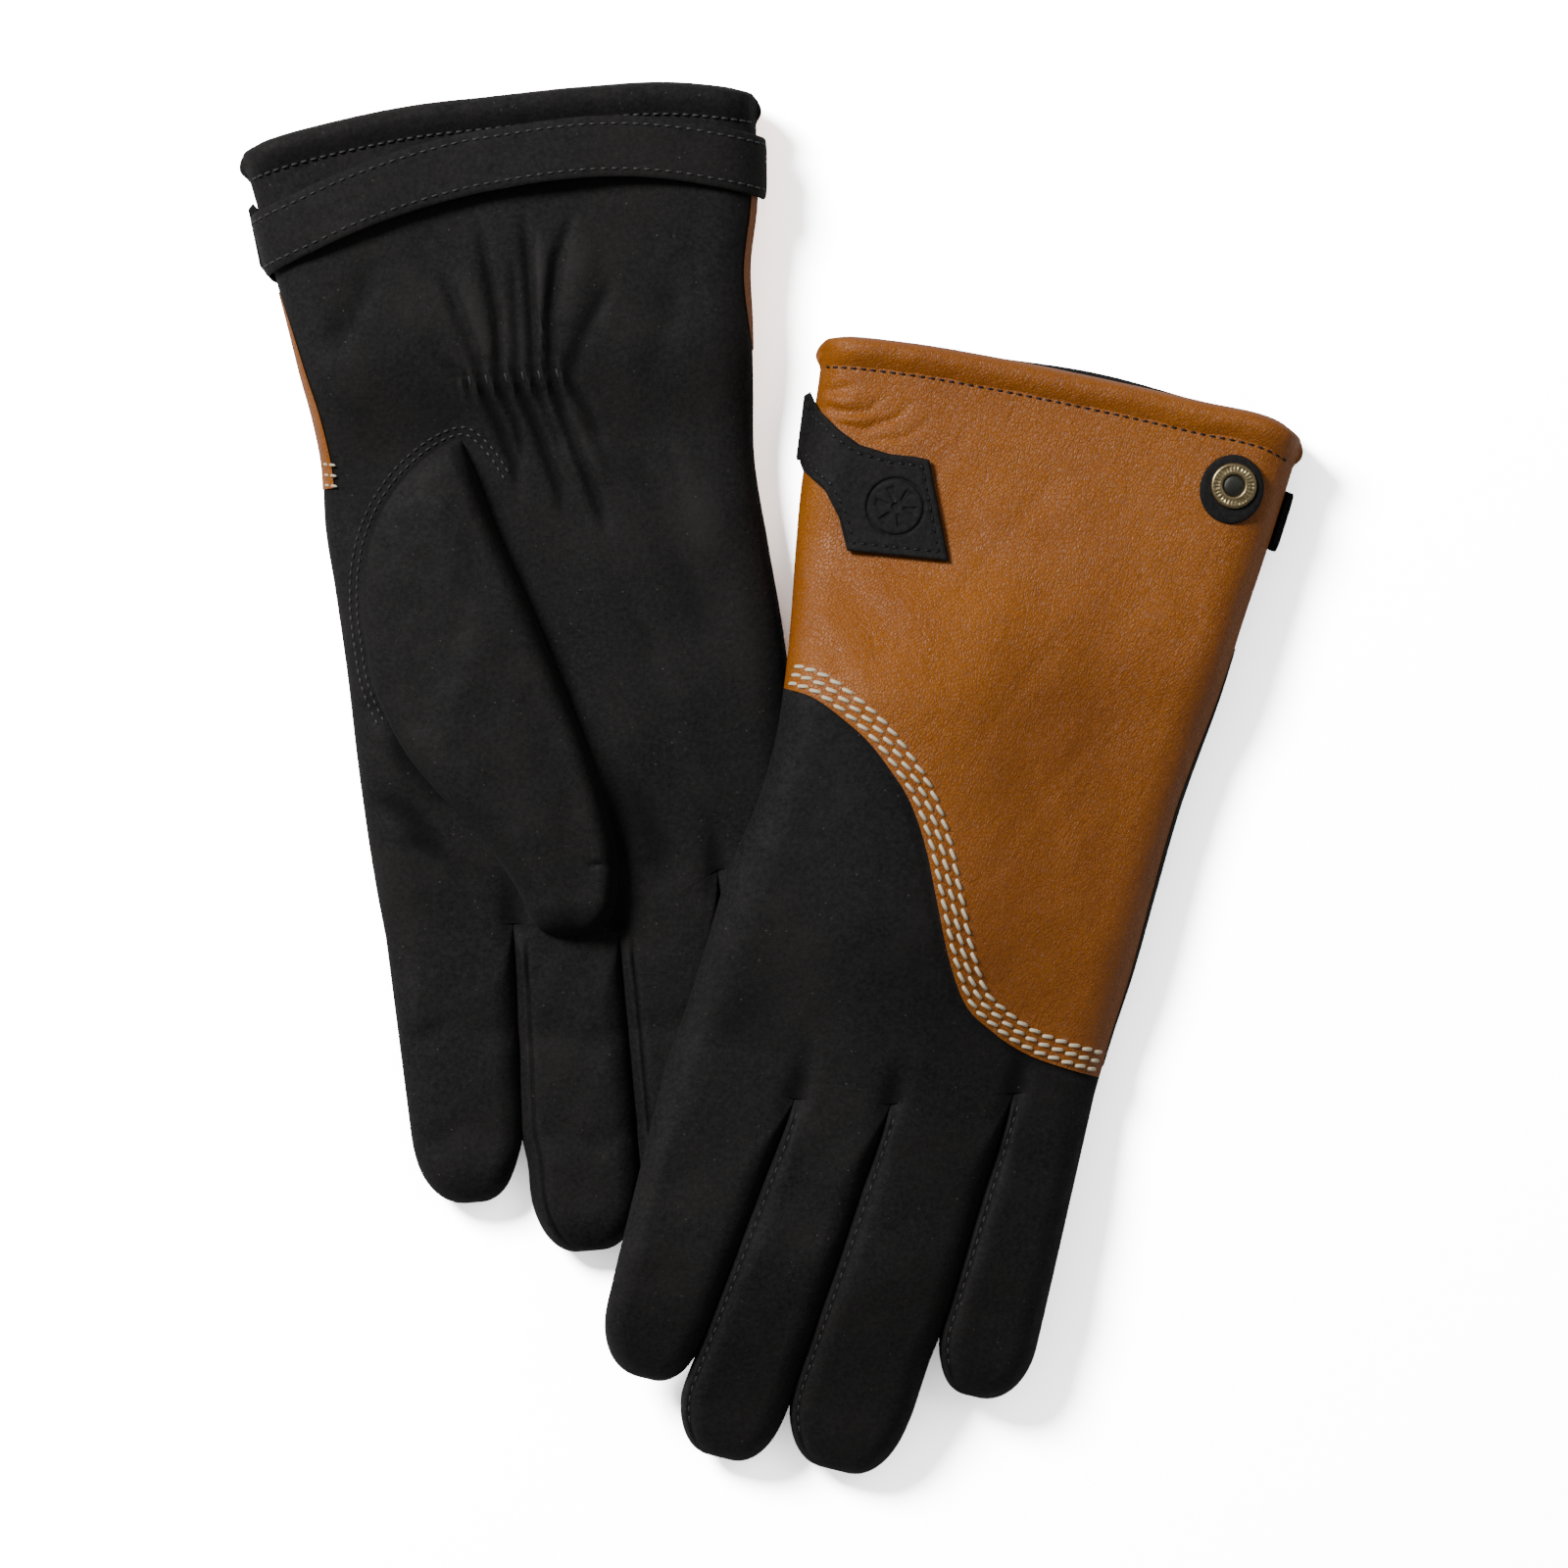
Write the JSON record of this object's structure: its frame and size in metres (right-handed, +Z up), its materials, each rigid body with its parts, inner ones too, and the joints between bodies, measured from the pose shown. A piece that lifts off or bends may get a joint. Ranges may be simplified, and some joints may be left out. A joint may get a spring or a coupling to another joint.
{
  "type": "driving gloves",
  "caption": "Pair of lined leather gauntlet driving gloves lying flat, one palm up and one back up on top of it, with a cuff strap, a flared tab and a snap stud on each.",
  "frame": {"origin": "centre of the pair's bounding box on the surface the gloves lie on", "axes": "+X from the right-hand glove towards the left-hand glove, +Y from the fingertips towards the cuffs, +Z up off the table"},
  "size_m": [0.248, 0.3242, 0.0325],
  "materials": {
    "black_nubuck": "matte black nubuck with a fine nap, faint brown cast, stitched in black thread",
    "tan_leather": "smooth semi-gloss tan sheepskin with a fine pebbled grain and soft creases, triple cream stitching",
    "fleece_lining": "dark short-pile fleece",
    "elastic_webbing": "woven elastic webbing",
    "antique_brass": "brushed antique brass, darker in the recesses"
  },
  "bodies": {
    "right_glove": {"right_back_panel": "black_nubuck", "right_gauntlet_panel": "tan_leather", "right_palm_panel": "black_nubuck", "right_back_hem": "tan_leather", "right_palm_hem": "black_nubuck", "right_back_lining": "fleece_lining", "right_palm_lining": "fleece_lining", "right_wrist_elastic": "elastic_webbing", "right_cuff_strap": "black_nubuck", "right_stud_washer": "black_nubuck", "right_snap_stud": "antique_brass", "right_strap_tab": "black_nubuck", "right_snap_socket": "antique_brass", "right_thumb_gusset": "black_nubuck", "right_ring_back": "black_nubuck", "right_ring_palm": "black_nubuck", "right_ring_lining": "fleece_lining", "right_ring_fourchette": "black_nubuck", "right_little_back": "black_nubuck", "right_little_palm": "black_nubuck", "right_little_lining": "fleece_lining"},
    "right_index": {"right_index_back": "black_nubuck", "right_index_palm": "black_nubuck", "right_index_lining": "fleece_lining", "right_index_fourchette": "black_nubuck"},
    "right_middle": {"right_middle_back": "black_nubuck", "right_middle_palm": "black_nubuck", "right_middle_lining": "fleece_lining", "right_middle_fourchette": "black_nubuck"},
    "right_thumb": {"right_thumb": "black_nubuck"},
    "left_glove": {"left_back_panel": "black_nubuck", "left_gauntlet_panel": "tan_leather", "left_palm_panel": "black_nubuck", "left_back_hem": "tan_leather", "left_palm_hem": "black_nubuck", "left_back_lining": "fleece_lining", "left_palm_lining": "fleece_lining", "left_wrist_elastic": "elastic_webbing", "left_cuff_strap": "black_nubuck", "left_stud_washer": "black_nubuck", "left_snap_stud": "antique_brass", "left_thumb": "black_nubuck"},
    "left_index": {"left_index_back": "black_nubuck", "left_index_palm": "black_nubuck", "left_index_lining": "fleece_lining", "left_index_fourchette": "black_nubuck"},
    "left_middle": {"left_middle_back": "black_nubuck", "left_middle_palm": "black_nubuck", "left_middle_lining": "fleece_lining", "left_middle_fourchette": "black_nubuck"},
    "left_ring": {"left_ring_back": "black_nubuck", "left_ring_palm": "black_nubuck", "left_ring_lining": "fleece_lining", "left_ring_fourchette": "black_nubuck"},
    "left_little": {"left_little_back": "black_nubuck", "left_little_palm": "black_nubuck", "left_little_lining": "fleece_lining"},
    "left_strap_tab": {"left_strap_tab": "black_nubuck", "left_snap_socket": "antique_brass"}
  },
  "joints": [
    {"name": "right_index_bend", "type": "hinge", "parent": "right_glove", "child": "right_index", "pos_m": [-0.07541, -0.03482, 0.013], "axis": [-0.9962, -0.0872, 0], "range_deg": [0, 40]},
    {"name": "right_middle_bend", "type": "hinge", "parent": "right_glove", "child": "right_middle", "pos_m": [-0.04814, -0.03504, 0.013], "axis": [-0.9928, 0.014, -0.1191], "range_deg": [0, 25]},
    {"name": "right_thumb_open", "type": "hinge", "parent": "right_glove", "child": "right_thumb", "pos_m": [-0.08, 0.04172, 0.0268], "axis": [-0.1581, -0.9874, 0], "range_deg": [0, 90]},
    {"name": "left_glove_lift", "type": "slide", "parent": "right_glove", "child": "left_glove", "axis": [0, 0, 1], "range_m": [0, 0.12]},
    {"name": "left_index_bend", "type": "hinge", "parent": "left_glove", "child": "left_index", "pos_m": [-0.00963, -0.07022, 0.0297], "axis": [-0.9718, 0.2357, 0], "range_deg": [0, 35]},
    {"name": "left_middle_bend", "type": "hinge", "parent": "left_glove", "child": "left_middle", "pos_m": [0.01647, -0.07498, 0.0297], "axis": [-0.9776, 0.2104, 0], "range_deg": [0, 35]},
    {"name": "left_ring_bend", "type": "hinge", "parent": "left_glove", "child": "left_ring", "pos_m": [0.04196, -0.07443, 0.02705], "axis": [-0.9803, 0.1973, 0], "range_deg": [0, 30]},
    {"name": "left_little_bend", "type": "hinge", "parent": "left_glove", "child": "left_little", "pos_m": [0.06595, -0.0732, 0.01775], "axis": [-0.9566, 0.042, 0.2883], "range_deg": [0, 35]},
    {"name": "left_tab_open", "type": "hinge", "parent": "left_glove", "child": "left_strap_tab", "pos_m": [0.01354, 0.07478, 0.01952], "axis": [-0.2419, -0.9703, 0], "range_deg": [0, 100]}
  ]
}
